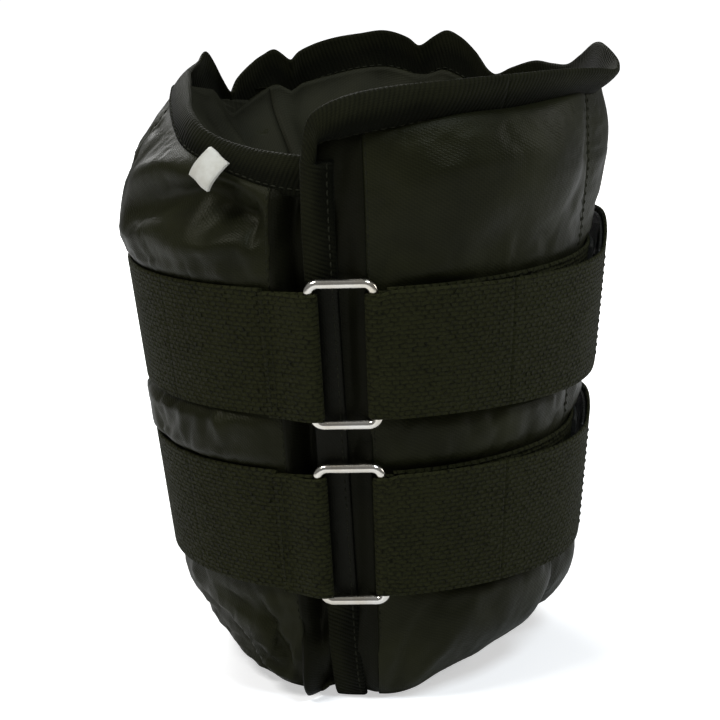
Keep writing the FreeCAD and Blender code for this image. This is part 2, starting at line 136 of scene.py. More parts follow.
def polar(angle, radius, height):
    """Points in metres from angle, radius and height."""
    a, radius, height = np.broadcast_arrays(np.radians(angle), radius, height)
    return np.stack([radius * np.sin(a), -radius * np.cos(a), height], -1) * 0.001


def cone(height):
    return BASE + TAPER * height


def unit(v):
    return v / np.maximum(np.linalg.norm(v, axis=-1, keepdims=True), 1e-12)


# ---- shape of the cuff

# angle, then radius and height of the top edge, and of the seam that closes the pads' tops
RIM = [
    (-8, 95, 219, 90, 211), (-7.5, 95.5, 226, 89.5, 216), (-6, 95.5, 231.5, 89.5, 221),
    (-2, 95, 237, 89.5, 225.5), (3, 94.5, 240, 90, 227.5), (13, 94.5, 242.5, 91, 229.5),
    (24, 97, 243.5, 92, 232), (42, 97, 243.5, 92, 232), (60, 99, 242.5, 93, 233),
    (70, 103, 241, 94, 233), (77, 106, 239.5, 96, 232), (84, 105, 242, 96, 232),
    (91, 101, 246, 95, 233), (100, 99, 246, 95, 233), (108, 97, 240, 94, 229),
    (115, 96.5, 235.5, 94, 225), (122, 96, 235, 93.5, 223.5), (129, 95.5, 235.5, 93.5, 223.5),
    (137, 94, 232, 93, 220), (142, 92.5, 229, 92, 218), (146, 94, 232, 93, 220),
    (150, 97, 238, 94, 225), (155, 98.5, 244.5, 95, 229), (159, 98.5, 247, 95, 231),
    (162, 97, 244.5, 95, 229.5), (165, 93, 241, 93, 228.5), (169, 95, 244.5, 94, 230.5),
    (175, 96.5, 247.5, 95, 232.5), (182, 97, 246.5, 95, 232), (189, 96.5, 245, 95, 230),
    (195, 95, 242.5, 94, 228), (199, 92.5, 240, 93, 226.5), (202, 89.5, 237, 91, 224),
    (205.5, 94, 241.5, 92.5, 227), (209, 94.5, 239.5, 92.5, 226), (213, 92, 236.5, 92, 223),
    (218.5, 89, 231, 91, 219), (222, 88, 225.5, 90, 217), (225, 91, 237, 90, 222),
    (228.5, 90, 243.5, 89, 228), (233, 86.5, 241, 86, 228), (240, 81, 239.5, 84.5, 231.5),
    (248, 75.5, 239, 80.5, 233), (257, 70.5, 238.5, 76, 233.5), (268, 66.5, 237.5, 72.5, 233),
    (280, 65.5, 236, 71.5, 231), (292, 67, 233.5, 73, 227.5), (302, 71, 231, 76, 223.5),
    (310, 74.5, 228.5, 79, 219.5), (317, 77, 225, 81, 217), (324, 77.5, 222, 82.5, 214.5),
    (334, 79, 219.5, 84.5, 210.5), (345, 82.5, 218, 87, 207), (353, 84, 217, 88, 205.5),
    (364, 84.5, 215, 87, 204),
]
# height, then how far a pad swells past the cone halfway between its seams
SWELL = [
    (0, 2), (20, 2.5), (40, 2), (60, 1.5), (85, 2.5), (110, 3.5),
    (140, 3), (172, 3), (182, 3), (191, 6.8), (240, 6.5),
]
# angle, then the share of that swelling found above the upper strap
UPPER_SHARE = [
    (-8, 0.4), (40, 0.6), (107, 0.55), (175, 0.7),
    (242, 1.0), (310, 1.0), (345, 0.8), (364, 0.5),
]
# angle, then how high the foot's rounding reaches, how far it draws in, and its share of the swelling
FOOT = [
    (-8, 26, 8, 0), (12, 28, 9, 0.5), (18, 32, 15, 1), (28, 38, 30, 2),
    (45, 43, 39, 2), (70, 42, 43, 3), (90, 40, 42, 4), (110, 44, 39, 3),
    (160, 46, 36, 2), (220, 48, 36, 1), (250, 54, 38, -1), (280, 58, 38, -2),
    (310, 56, 31, -2), (328, 46, 18, 0), (345, 32, 10, 0), (364, 26, 8, 0),
]
# angle, then how far below the top seam a pad starts to close in
SHOULDER = [
    (-8, 22), (60, 26), (120, 26), (200, 28), (232, 42),
    (250, 48), (295, 46), (320, 40), (345, 30), (364, 28),
]
# angle, then the curve over the shoulder: 1 is a quarter ellipse, less is fuller and more is flatter
SLOPE = [
    (-8, 0.85), (215, 0.85), (240, 1.4), (258, 2.0),
    (290, 2.0), (315, 1.2), (335, 0.85), (364, 0.85),
]
DEPTH = 38.0  # of a pad, from outside to inside
GATHER = 7.0  # how far a pad's inside is pulled outwards at its seams
HOLE, UNDERSIDE = 44.5, 1.6  # radius and height of the pads' inner edge underneath
UNDER_ROWS, FOOT_ROWS = 3, 20  # rows of a pad's outside that lie underneath, and that round its foot


def rim(angle):
    """Radius and height of the top edge, then of the top seam."""
    return [look_up(RIM, angle, column) for column in (1, 2, 3, 4)]


def pillow(angle):
    """0 at a pad's seams and 1 across most of its width; the left side's seam is only a narrow groove."""
    angle = np.asarray(angle, float)
    share = np.clip((angle - FIRST) / PITCH % 1.0, 0, 1)
    share = np.where(angle >= LAST - 1e-6, 1.0, share)
    aside = (angle - SEAMS[3]) ** 2
    fill, spread, groove = 0.8, 12, 1.7
    filled = fill * np.exp(-aside / spread**2) * (1 - np.exp(-aside / groove**2))
    return np.maximum(1 - np.abs(2 * share - 1) ** 3, filled)


def strap_grip(height):
    """1 under a strap, fading to 0 just past its edges."""
    grip = 0
    for low, high in STRAPS.values():
        grip = np.maximum(grip, smooth((height - low + 5) / 6) * smooth((high + 5 - height) / 6))
    return grip


def wall_offset(angle, height):
    """How far the cover's wall lies outside the cone; the straps press it just inside."""
    upper = 1 + (look_up(UPPER_SHARE, angle) - 1) * smooth((height - 150) / 25)
    lower = 1 + (look_up(FOOT, angle, 3) - 1) * smooth((75 - height) / 20)
    free = look_up(SWELL, height) * pillow(angle) * upper * lower
    grip = strap_grip(height)
    return free * (1 - grip) - 0.5 * grip


# ---- folds in the cloth

MM_PER_DEGREE = 1.6
BOW = 0.012  # how much a fold's line bends, for its size


class Folds:
    """Shallow creases, each a soft ridge or valley along a line.

    A row holds a fold's angle, height, turn from level, half length, half width and depth, less than 0 if
    it is a valley.
    """

    def __init__(self, lines):
        self.lines = lines

    def __call__(self, angle, height):
        out = 0 * (angle + height)
        for a, z, turn, length, width, depth in self.lines:
            x, y = (angle - a) * MM_PER_DEGREE, height - z
            c, s = math.cos(math.radians(turn)), math.sin(math.radians(turn))
            along, across = x * c + y * s, y * c - x * s
            across = across + BOW * along * along / max(length, 1) * width
            out = out + depth * np.exp(-((across / width) ** 2)) * np.exp(-((along / length) ** 4))
        return out


def scattered(seed, count, angles, heights, turn, length, width, depth):
    """Random folds inside a range of angles and heights, with much the same turn."""
    rng = np.random.default_rng(seed)
    rows = []
    for _ in range(count):
        place = rng.uniform(*angles), rng.uniform(*heights), turn + rng.normal(0, 14)
        size = rng.uniform(*length), rng.uniform(*width)
        rows.append((*place, *size, rng.choice([-1, 1]) * rng.uniform(*depth)))
    return rows


FOLD_LINES = []
for k in range(5):
    # small puckers along the straps' edges, then wider folds above and below the straps
    span = (FIRST + k * PITCH + 6, FIRST + (k + 1) * PITCH - 6)
    for edge, seed in ((176, 1), (117, 2), (104, 3), (44, 4)):
        near = (edge - 3, edge + 3)
        FOLD_LINES += scattered(10 * k + seed, 9, span, near, 90, (5, 9), (2, 4), (0.3, 0.9))
    FOLD_LINES += scattered(70 + k, 8, span, (182, 214), 20, (16, 32), (5, 9), (0.2, 0.6))
    FOLD_LINES += scattered(80 + k, 8, span, (4, 42), 70, (12, 22), (4, 7), (0.2, 0.7))
# the folds that stand out, from the left pad's big dent to the right pad's soft ones
FOLD_LINES += [
    (314, 200, 13, 32, 6.5, -8.0), (306, 212, 17, 26, 6, 2.6), (302, 188, 6, 24, 6, 2.6),
    (335, 197, -12, 14, 6, -7.5), (327, 185, 8, 20, 5, 3.0), (262, 204, -24, 30, 5, -2.6),
    (256, 214, -18, 26, 6, 1.6), (316, 178, 3, 30, 3, -1.6), (308, 26, -28, 26, 5, -2.6),
    (320, 19, -38, 18, 3, -4.6), (330, 12, -20, 16, 3, 4.0), (335, 27, -62, 16, 2.6, -4.6),
    (326, 37, -12, 20, 3, -3.2), (316, 9, -12, 16, 2.5, 3.0), (331, 22, -30, 12, 2.2, 2.2),
    (340, 16, 70, 12, 2.5, 2.4), (300, 14, -20, 20, 4, 1.8), (14, 22, 66, 20, 4, -2.2),
    (20, 14, 50, 16, 4, 1.6), (9, 192, 84, 26, 4, -1.8), (30, 214, 8, 26, 5, 1.2),
    (52, 186, 30, 24, 6, -1.0), (66, 205, 60, 22, 5, -1.2),
]
folds = Folds(FOLD_LINES)

# ---- mesh making


def mesh_object(name, vertices, faces, uvs):
    """New object with its own mesh; only its four-sided faces are shaded smooth."""
    mesh = bpy.data.meshes.new(name)
    mesh.from_pydata([tuple(v) for v in vertices], [], faces)
    layer = mesh.uv_layers.new(name="UVMap")
    loops = np.empty(len(mesh.loops), int)
    mesh.loops.foreach_get("vertex_index", loops)
    layer.data.foreach_set("uv", np.asarray(uvs, np.float32)[loops].ravel())
    mesh.polygons.foreach_set("use_smooth", [len(face) == 4 for face in faces])
    mesh.update()
    obj = bpy.data.objects.new(name, mesh)
    bpy.context.scene.collection.objects.link(obj)
    return obj


def grid_faces(rows, columns, loop=False, start=0):
    """Quads over a grid of rows and columns; loop joins the last column to the first."""
    faces = []
    wide = columns if loop else columns - 1
    for i in range(rows - 1):
        for j in range(wide):
            a, b = i * columns + j, i * columns + (j + 1) % columns
            faces.append((start + a, start + b, start + b + columns, start + a + columns))
    return faces


def tube(name, points, uvs, capped=True):
    """Closed skin over a grid whose columns go round a cross-section."""
    rows, columns = points.shape[:2]
    faces = grid_faces(rows, columns, loop=True)
    if capped:
        faces.append(tuple(reversed(range(columns))))
        faces.append(tuple((rows - 1) * columns + j for j in range(columns)))
    return mesh_object(name, points.reshape(-1, 3), faces, uvs.reshape(-1, 2))


def slab_section(half_width, half_thickness, columns):
    """Cross-section of a flat strip with rounded edges: across and through, going once round."""
    flat = half_width - half_thickness
    across = np.linspace(-flat, flat, columns)
    turn = np.radians([60, 25, 0, -25, -60])
    edge_x, edge_y = half_thickness * np.cos(turn), half_thickness * np.sin(turn)
    face = np.full(columns, half_thickness)
    x = join(across, flat + edge_x, across[::-1], -flat - edge_x)
    return x, join(face, edge_y, -face, -edge_y)


def webbing(name, angles, offsets, strap, thickness=WEBBING_THICKNESS, width=None, pinch=1.0, lift=0.0):
    """A webbing strip that runs along a path in plan, upright on the cone.

    angles and offsets give its middle line; offsets are past the cone. pinch narrows it, and lift raises it.
    """
    low, high = STRAPS[strap]
    middle, half = (low + high) / 2, (width or (high - low) / math.cos(LEAN)) / 2
    angles, offsets = np.asarray(angles, float), np.asarray(offsets, float)
    across, through = slab_section(half, thickness / 2, 14)
    spread = across[None, :] * np.broadcast_to(pinch, len(angles))[:, None]
    height = middle + spread * math.cos(LEAN) + np.broadcast_to(lift, len(angles))[:, None]
    centre = polar(angles[:, None], cone(height) + offsets[:, None], height)
    along = unit(np.gradient(centre, axis=0))
    upward = unit(polar(angles, TAPER, 1.0))[:, None, :] + 0 * along
    normal = unit(np.cross(along, upward))
    points = centre + normal * (through * 0.001)[None, :, None]
    return tube(name, points, uv_grid(run_length(centre[:, 0])[:, None], (across * 0.001)[None, :]))


def folded_tape(name, edge, inward, width, belly=0.0):
    """Binding tape folded over a cloth edge: edge is the fold's line, inward points from it into the cloth.

    width may change along the tape; belly pushes the middle of its outer face outwards.
    """
    edge, inward = np.asarray(edge, float), unit(np.asarray(inward, float))
    along = unit(np.gradient(edge, axis=0))
    normal = unit(np.cross(inward, along))
    width, belly = np.broadcast_to(width, len(edge))[:, None], np.broadcast_to(belly, len(edge))[:, None]
    across, through = slab_section(0.5, BINDING_THICKNESS / BINDING_WIDTH / 2, 9)
    share = across[None, :] + 0.5
    reach = (share * width - FOLD_ROOM) * 0.001
    depth = (through[None, :] * BINDING_WIDTH + belly * np.sin(np.pi * np.clip(share, 0, 1) ** 0.8)) * 0.001
    points = edge[:, None, :] + inward[:, None, :] * reach[..., None] + normal[:, None, :] * depth[..., None]
    return tube(name, points, uv_grid(run_length(edge)[:, None], reach))


# ---- materials


class Nodes:
    """Builds a node material step by step."""

    def __init__(self, name):
        self.material = bpy.data.materials.new(name)
        self.material.use_nodes = True
        self.tree = self.material.node_tree
        self.shader = self.tree.nodes["Principled BSDF"]

    def node(self, kind, settings=None, **inputs):
        made = self.tree.nodes.new(kind)
        for key, value in (settings or {}).items():
            setattr(made, key, value)
        for key, value in inputs.items():
            self.set(made, key.replace("_", " "), value)
        return made

    def set(self, node, key, value):
        socket = node.inputs[int(key[1:])] if key[0] == "i" and key[1:].isdigit() else node.inputs[key]
        if isinstance(value, bpy.types.NodeSocket):
            self.tree.links.new(value, socket)
        else:
            socket.default_value = value

    def math(self, operation, a, b=0.0, c=0.0):
        return self.node("ShaderNodeMath", {"operation": operation}, i0=a, i1=b, i2=c).outputs[0]

    def uv(self):
        split = self.node("ShaderNodeSeparateXYZ", i0=self.node("ShaderNodeUVMap").outputs[0])
        return split.outputs[0], split.outputs[1]

    def place(self):
        return self.node("ShaderNodeTexCoord").outputs["Object"]

    def noise(self, vector, scale, detail=3.0, rough=0.5):
        made = self.node("ShaderNodeTexNoise", Vector=vector, Scale=scale, Detail=detail, Roughness=rough)
        return made.outputs[0]

    def ramp(self, value, stops):
        made = self.node("ShaderNodeValToRGB", i0=value)
        elements = made.color_ramp.elements
        while len(elements) < len(stops):
            elements.new(0.5)
        for element, (position, colour) in zip(elements, stops):
            element.position = position
            element.color = (*colour, 1)
        return made.outputs[0]

    def bump(self, height, distance, strength=1.0, normal=None):
        made = self.node("ShaderNodeBump", Height=height, Distance=distance, Strength=strength)
        if normal is not None:
            self.set(made, "Normal", normal)
        return made.outputs[0]

    def finish(self, **inputs):
        for key, value in inputs.items():
            self.set(self.shader, key.replace("_", " "), value)
        return self.material


def wave(n, value, pitch):
    """0 to 1 sine of a length in metres, with a pitch in millimetres."""
    turned = n.math("MULTIPLY", value, 2 * math.pi / (pitch * 0.001))
    return n.math("MULTIPLY_ADD", n.math("SINE", turned), 0.5, 0.5)


def coated_cloth(name, colour, light, rough=0.42, pitch=0.85, shine=0.09):
    """Fine oxford weave crossed by a slanting rib, with dull patches."""
    n = Nodes(name)
    u, v = n.uv()
    warp, weft = wave(n, u, pitch), wave(n, v, pitch)
    twill = wave(n, n.math("ADD", n.math("MULTIPLY", u, 0.8), v), pitch * 1.7)
    weave = n.math("ADD", n.math("MULTIPLY", warp, weft), n.math("MULTIPLY", twill, 0.9))
    patches = n.noise(n.place(), 38, 4)
    creases = n.noise(n.place(), 120, 5, 0.6)
    first = n.bump(creases, 0.0009, 0.55)
    second = n.bump(weave, 0.0001, 0.42, first)
    mixed = n.math("ADD", n.math("MULTIPLY", patches, 0.75), n.math("MULTIPLY", weave, 0.18))
    return n.finish(
        Base_Color=n.ramp(mixed, [(0.25, colour), (0.8, light)]),
        Roughness=n.math("MULTIPLY_ADD", patches, 0.22, rough - 0.1),
        Normal=second,
        Specular_IOR_Level=shine,
        Specular_Tint=(1, 0.99, 0.8, 1),
        Sheen_Weight=0.006,
        Sheen_Roughness=0.45,
        Sheen_Tint=(0.55, 0.6, 0.7, 1),
    )


DULL = {
    "Specular_IOR_Level": 0.06,
    "Specular_Tint": (1, 1, 0.8, 1),
    "Sheen_Weight": 0.01,
    "Sheen_Roughness": 0.5,
}


def woven_webbing(name, colour, light, long=3.1, short=1.75):
    """Coarse webbing: staggered knuckles, longer along the strap than across it."""
    n = Nodes(name)
    u, v = n.uv()
    jitter, patches = n.noise(n.place(), 420, 2), n.noise(n.place(), 60, 4)
    u = n.math("MULTIPLY_ADD", jitter, 0.0030, u)
    v = n.math("MULTIPLY_ADD", jitter, 0.0015, v)
    row = n.math("DIVIDE", v, short * 0.001)
    odd = n.math("MULTIPLY", n.math("FLOORED_MODULO", n.math("FLOOR", row), 2.0), long * 0.0005)
    across = n.math("ABSOLUTE", n.math("SINE", n.math("MULTIPLY", row, math.pi)))
    turned = n.math("MULTIPLY", n.math("ADD", u, odd), math.pi / (long * 0.001))
    along = n.math("ABSOLUTE", n.math("SINE", turned))
    knuckle = n.math("MULTIPLY", n.math("POWER", across, 0.45), n.math("POWER", along, 0.35))
    fibres = n.noise(n.node("ShaderNodeMapping", i0=n.place(), Scale=(600, 600, 3500)).outputs[0], 1, 3)
    grain = n.noise(n.place(), 520, 3, 0.7)
    wear = n.math("MULTIPLY_ADD", grain, 0.95, n.math("MULTIPLY", patches, 0.35))
    tone = n.math("MULTIPLY_ADD", knuckle, 0.42, wear)
    base = n.bump(n.math("MULTIPLY_ADD", grain, 1.0, knuckle), 0.0009, 1.0)
    return n.finish(
        Base_Color=n.ramp(tone, [(0.45, colour), (1.0, light)]),
        Roughness=n.math("MULTIPLY_ADD", fibres, 0.15, 0.64),
        Normal=n.bump(fibres, 0.0001, 0.5, base),
        **DULL,
    )


def grosgrain(name, colour, light, pitch):
    """Slanting ribs across the tape, mottled, with a painted highlight at its fold and painted shade inwards.
    """
    n = Nodes(name)
    u, v = n.uv()
    jitter = n.noise(n.place(), 300, 2)
    slant = n.math("MULTIPLY_ADD", v, 0.35, n.math("MULTIPLY_ADD", jitter, 0.0005, u))
    rib = n.math("POWER", wave(n, slant, pitch), 0.7)
    thread = wave(n, v, 0.7)
    height = n.math("MULTIPLY_ADD", thread, 0.35, rib)
    # painted highlight at the fold, where the tape's top is lit, and painted shade towards its inner edge
    edge = n.node("ShaderNodeMapRange", Value=v, From_Min=0.003, From_Max=0.0085, To_Min=0.24, To_Max=-0.28)
    mottle_and_painted_light = n.math("MULTIPLY_ADD", n.noise(n.place(), 70, 4), 0.7, edge.outputs[0])
    tone = n.math("MULTIPLY_ADD", rib, 0.3, mottle_and_painted_light)
    return n.finish(
        Base_Color=n.ramp(tone, [(0.3, colour), (0.95, light)]),
        Roughness=0.74,
        Normal=n.bump(height, 0.0003, 0.75),
        **DULL,
    )


def metal(name):
    """Nickel plate with fine scuffs and a slightly uneven tone."""
    n = Nodes(name)
    scuffs = n.noise(n.place(), 900, 4, 0.7)
    tone = n.noise(n.place(), 90, 3)
    return n.finish(
        Base_Color=n.ramp(tone, [(0.3, (0.72, 0.66, 0.55)), (0.7, (0.86, 0.83, 0.77))]),
        Metallic=1.0,
        Roughness=n.math("MULTIPLY_ADD", scuffs, 0.14, 0.1),
        Normal=n.bump(scuffs, 0.00004, 0.4),
    )


def grains(name, colour, light, scale, rough):
    """Small rounded cells: sand, hooks or loops, by their scale."""
    n = Nodes(name)
    cells = n.node("ShaderNodeTexVoronoi", Vector=n.place(), Scale=scale)
    return n.finish(
        Base_Color=n.ramp(cells.outputs["Color"], [(0.2, colour), (0.9, light)]),
        Roughness=rough,
        Normal=n.bump(cells.outputs["Distance"], 0.0004, 0.8),
    )


def film(name):
    """Crinkled plastic film."""
    n = Nodes(name)
    crinkle = n.noise(n.place(), 160, 5, 0.65)
    return n.finish(
        Base_Color=n.ramp(crinkle, [(0.3, (0.6, 0.58, 0.52)), (0.8, (0.8, 0.79, 0.75))]),
        Roughness=0.28,
        Normal=n.bump(crinkle, 0.001, 0.6),
    )


def satin_label(name):
    """Fine off-white satin, a little soiled."""
    n = Nodes(name)
    u, v = n.uv()
    weave = n.math("MULTIPLY", wave(n, u, 0.45), wave(n, v, 0.45))
    soil = n.noise(n.place(), 260, 4)
    return n.finish(
        Base_Color=n.ramp(soil, [(0.25, (0.56, 0.54, 0.46)), (0.7, (0.72, 0.71, 0.64))]),
        Roughness=0.6,
        Normal=n.bump(weave, 0.0001, 0.6),
        Sheen_Weight=0.2,
    )


COVER = coated_cloth("cover_cloth", (0.0056, 0.0059, 0.0023), (0.0183, 0.0190, 0.0078))
# painted shade: the flaps get a darker copy of the cover cloth, for the shade in the recessed closure
PAINTED_SHADE_FLAP_CLOTH = coated_cloth("flap_cloth", (0.0028, 0.0028, 0.0013), (0.0072, 0.0074, 0.0035), shine=0.06)
LINING = coated_cloth("lining_cloth", (0.0076, 0.0078, 0.0043), (0.0255, 0.0258, 0.0157), 0.6, 0.8)
WEBBING = woven_webbing("webbing", (0.0013, 0.0015, 0.0004), (0.0179, 0.0188, 0.0064))
TAPE = grosgrain("grosgrain_tape", (0.0020, 0.0022, 0.0008), (0.0105, 0.0109, 0.0046), pitch=1.8)
# painted shade: a darker copy of the tape for the right edge's stretch between the straps, where shade falls
PAINTED_SHADE_TAPE = coated_cloth("painted_shade_tape", (0.0010, 0.0010, 0.0005), (0.0030, 0.0031, 0.0017), shine=0.12)
WIRE = metal("nickel_wire")
THREAD = grosgrain("sewing_thread", (0.0075, 0.0078, 0.0045), (0.020, 0.0205, 0.013), pitch=0.5)
HOOKS = grains("hook_tape", (0.007, 0.007, 0.005), (0.022, 0.022, 0.016), 1100, 0.5)
LOOPS = grains("loop_tape", (0.006, 0.006, 0.004), (0.018, 0.018, 0.013), 700, 0.9)
SAND = grains("sand", (0.45, 0.35, 0.22), (0.75, 0.64, 0.48), 1500, 0.9)
FILM = film("pouch_film")
LABEL = satin_label("label_tape")


def dress(obj, material):
    """Gives a piece its material."""
    obj.data.materials.clear()
    obj.data.materials.append(material)
    return obj


def put(obj, material, body, *nodes):
    """Dresses a piece, makes it ride on a body and stand for the CAD nodes named."""
    dress(obj, material)
    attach(obj, body)
    if nodes:
        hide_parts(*nodes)
    return obj


# ---- stitches

STITCH_LENGTH, STITCH_PITCH = 2.3, 3.3


def add_mesh(obj, vertices, faces, material):
    """Adds smooth faces with their own material to an object's mesh."""
    obj.data.materials.append(material)
    work = bmesh.new()
    work.from_mesh(obj.data)
    made = [work.verts.new(v) for v in vertices]
    for corners in faces:
        face = work.faces.new([made[i] for i in corners])
        face.smooth = True
        face.material_index = len(obj.data.materials) - 1
    work.to_mesh(obj.data)
    work.free()


def sew(obj, path, normals, radius=0.3):
    """Row of stitches on obj along a path: short arched threads whose ends sink into the cloth."""
    sides, steps = 6, 5
    run = 1000 * run_length(path)
    round_thread = np.radians(np.arange(sides) * 360 / sides)
    along = np.linspace(-1, 1, steps)
    arch = (0.25 - 0.5 * along**2) * 0.001
    thick = radius * np.sqrt(1 - 0.55 * along**2) * 0.001
    vertices, faces = [], []
    for middle in np.arange(STITCH_PITCH, run[-1] - STITCH_PITCH / 2, STITCH_PITCH):
        where = middle + along * STITCH_LENGTH / 2
        centre = np.stack([np.interp(where, run, path[:, i]) for i in range(3)], -1)
        up = unit(np.array([np.interp(middle, run, normals[:, i]) for i in range(3)]))
        side = np.cross(unit(centre[-1] - centre[0]), up)
        ring = np.cos(round_thread)[None, :, None] * side + np.sin(round_thread)[None, :, None] * up
        points = (centre + up * arch[:, None])[:, None] + ring * thick[:, None, None]
        start = len(vertices)
        vertices += [tuple(v) for v in points.reshape(-1, 3)]
        faces += grid_faces(steps, sides, loop=True, start=start)
        faces.append(tuple(start + i for i in reversed(range(sides))))
        faces.append(tuple(start + (steps - 1) * sides + i for i in range(sides)))
    if vertices:
        add_mesh(obj, vertices, faces, THREAD)


def sew_tape(obj, edge, inward, width, belly=0.0, both=False):
    """Stitches a folded tape down along its inner edge, on its outer face or on both."""
    inward = unit(inward)
    normal = unit(np.cross(inward, unit(np.gradient(edge, axis=0))))
    share = 0.84
    reach = share * np.broadcast_to(width, len(edge)) - FOLD_ROOM
    swell = np.broadcast_to(belly, len(edge)) * np.sin(np.pi * share**0.8)
    line = edge + inward * (reach * 0.001)[:, None]
    for side in (1, -1) if both else (1,):
        out = (swell + side * BINDING_THICKNESS / 2) * 0.001
        sew(obj, line + normal * out[:, None], side * normal)


def sew_strap(obj, angle, offset, strap, lift=0.0):
    """Upright row of stitches across a strap, on its outer face."""
    low, high = STRAPS[strap]
    height = np.linspace(low + 2, high - 2, 30)
    path = polar(angle, cone(height) + offset + WEBBING_THICKNESS / 2, height + lift)
    sew(obj, path, unit(polar(angle, 1.0, 0 * height - TAPER)), radius=0.22)


# ---- pads

COVER_MARGIN, LINING_MARGIN = 0.07, 0.1  # angle between a pad's cover or lining and its seam


def outer_profile(angle, inset=0.0):
    """Radius and height up a pad's outside, from its foot to its top seam. inset draws it inwards."""
    angle = np.asarray(angle, float)[:, None]
    _, _, seam_r, seam_z = rim(angle)
    round_off = 1 - pillow(angle)
    drop = look_up(SHOULDER, angle)
    shoulder_low = seam_z - drop
    # the foot, a rounding that draws in less at the seams
    down = np.radians(np.linspace(-90, 0, FOOT_ROWS))[None, :]
    foot, inset_low = look_up(FOOT, angle, 1), look_up(FOOT, angle, 2)
    foot_r = cone(foot) + wall_offset(angle, foot)
    foot_inset = inset_low + 4 * round_off
    bottom = 0.8 + 3.5 * round_off**2 * smooth((inset_low - 8) / 22)
    turn_r = np.maximum(foot_r - foot_inset + foot_inset * np.cos(down) ** 1.3, HOLE + 1.5)
    turn_z = foot + (foot - bottom) * np.sin(down)
    # the wall
    rise = np.linspace(0, 1, 62)[None, 1:]
    wall_z = foot + (shoulder_low - foot) * rise
    wall_r = cone(wall_z) + wall_offset(angle, wall_z)
    # over the shoulder to the top seam
    up = np.radians(np.linspace(0, 90, 22))[None, 1:]
    top_r = cone(shoulder_low) + wall_offset(angle, shoulder_low)
    over_r = seam_r + (top_r - seam_r) * np.cos(up) ** look_up(SLOPE, angle)
    over_z = shoulder_low + drop * np.sin(up) + 0 * over_r
    # underneath, from the hole to the foot
    ring = np.linspace(0, 1, UNDER_ROWS + 1)[None, :-1]
    under_r = HOLE + (turn_r[:, :1] - HOLE) * ring
    under_z = UNDERSIDE + (bottom - UNDERSIDE) * ring + 0 * under_r
    radius = join(under_r, turn_r, wall_r, over_r, axis=1)
    height = join(under_z, turn_z, wall_z + 0 * wall_r, over_z, axis=1)
    depth = (inset == 0) * folds(angle, height) * smooth((height - 1) / 7) * (1 - 0.85 * strap_grip(height))
    depth = depth * smooth(pillow(angle) * 2.5) * smooth((seam_z - height) / 6)
    return radius + depth - inset, height


def inner_profile(angle, rows, inset=0.0):
    """Radius and height up a pad's inside, with as many rows as the outside has."""
    foot_rows, slope_rows = 9, 24
    angle = np.asarray(angle, float)[:, None]
    _, _, seam_r, seam_z = rim(angle)
    gather = 1 - pillow(angle)
    wall_low, wall_high = 12.0, seam_z - 46
    face_low = cone(wall_low) - DEPTH + GATHER * gather
    face_high = cone(wall_high) - DEPTH + GATHER * gather
    turn = np.radians(np.linspace(-90, 0, foot_rows))[None, :]
    foot_r = face_low + 5 - 5 * np.cos(turn)
    foot_z = wall_low + (wall_low - UNDERSIDE) * np.sin(turn) + 0 * foot_r
    share = np.linspace(0, 1, rows - foot_rows - slope_rows + 1)[None, 1:]
    wall_z = wall_low + (wall_high - wall_low) * share
    wall_r = cone(wall_z) - DEPTH + GATHER * gather - 1.5 * np.sin(np.pi * share) * (1 - gather)
    rise = np.linspace(0, 1, slope_rows + 1)[None, 1:]
    slope_z = wall_high + (seam_z - wall_high) * rise
    swing = (1 - np.cos(np.pi * rise**1.1)) / 2
    slope_r = face_high + (seam_r - 1.8 - face_high) * swing
    pleat = np.sin(np.radians(angle * 17)) + 0.6 * np.sin(np.radians(angle * 31 + 40))
    slope_r = slope_r + 1.6 * pleat * np.sin(np.pi * rise) * smooth(pillow(angle) * 2)
    radius = join(foot_r, wall_r, slope_r, axis=1)
    height = join(foot_z, wall_z + 0 * wall_r, slope_z + 0 * slope_r, axis=1)
    return radius + inset, height


def between(a, b):
    """Three columns part of the way from one column of points to another."""
    return [a * (1 - t) + b * t for t in (0.25, 0.5, 0.75)]


def pad_shell(name, k, inset=0.0, columns=20):
    """Closed skin of one pad: outside, inside and side walls. inset makes a smaller one to go inside it."""
    margin = COVER_MARGIN + inset * 0.45
    start, stop = FIRST + k * PITCH + margin, FIRST + (k + 1) * PITCH - margin
    share = (1 - np.cos(np.linspace(0, np.pi, columns))) / 2
    angles = start + (stop - start) * (0.35 * share + 0.65 * np.linspace(0, 1, columns))
    outer_r, outer_z = outer_profile(angles, inset)
    inner_r, inner_z = inner_profile(angles, outer_r.shape[1], inset)
    if inset:
        squeeze = 1 - (22 + inset) / 220
        outer_z, inner_z = 3 + inset / 2 + outer_z * squeeze, 3 + inset / 2 + inner_z * squeeze
        middle = (outer_r + inner_r) / 2
        outer_r, inner_r = np.maximum(outer_r, middle + 0.5), np.minimum(inner_r, middle - 0.5)
    outer = polar(angles[:, None], outer_r, outer_z)
    inner = polar(angles[:, None], inner_r, inner_z)
    closed = (outer + inner) / 2
    outer = join(closed[:, :1], outer, closed[:, -1:], axis=1)
    inner = join(closed[:, :1], inner, closed[:, -1:], axis=1)
    sides = between(outer[-1:], inner[-1:]), between(inner[:1], outer[:1])
    points = join(outer, *sides[0], inner[::-1], *sides[1]).transpose(1, 0, 2)
    low_row, middle_column = 40, len(outer) // 2
    uvs = uv_grid(run_length(points[low_row])[None, :], run_length(outer[middle_column])[:, None])
    return tube(name, points, uvs, capped=False)


def weld(obj, distance=0.00002):
    """Closes a skin where its first and last rows come together."""
    work = bmesh.new()
    work.from_mesh(obj.data)
    bmesh.ops.remove_doubles(work, verts=work.verts, dist=distance)
    bmesh.ops.recalc_face_normals(work, faces=work.faces)
    work.to_mesh(obj.data)
    work.free()


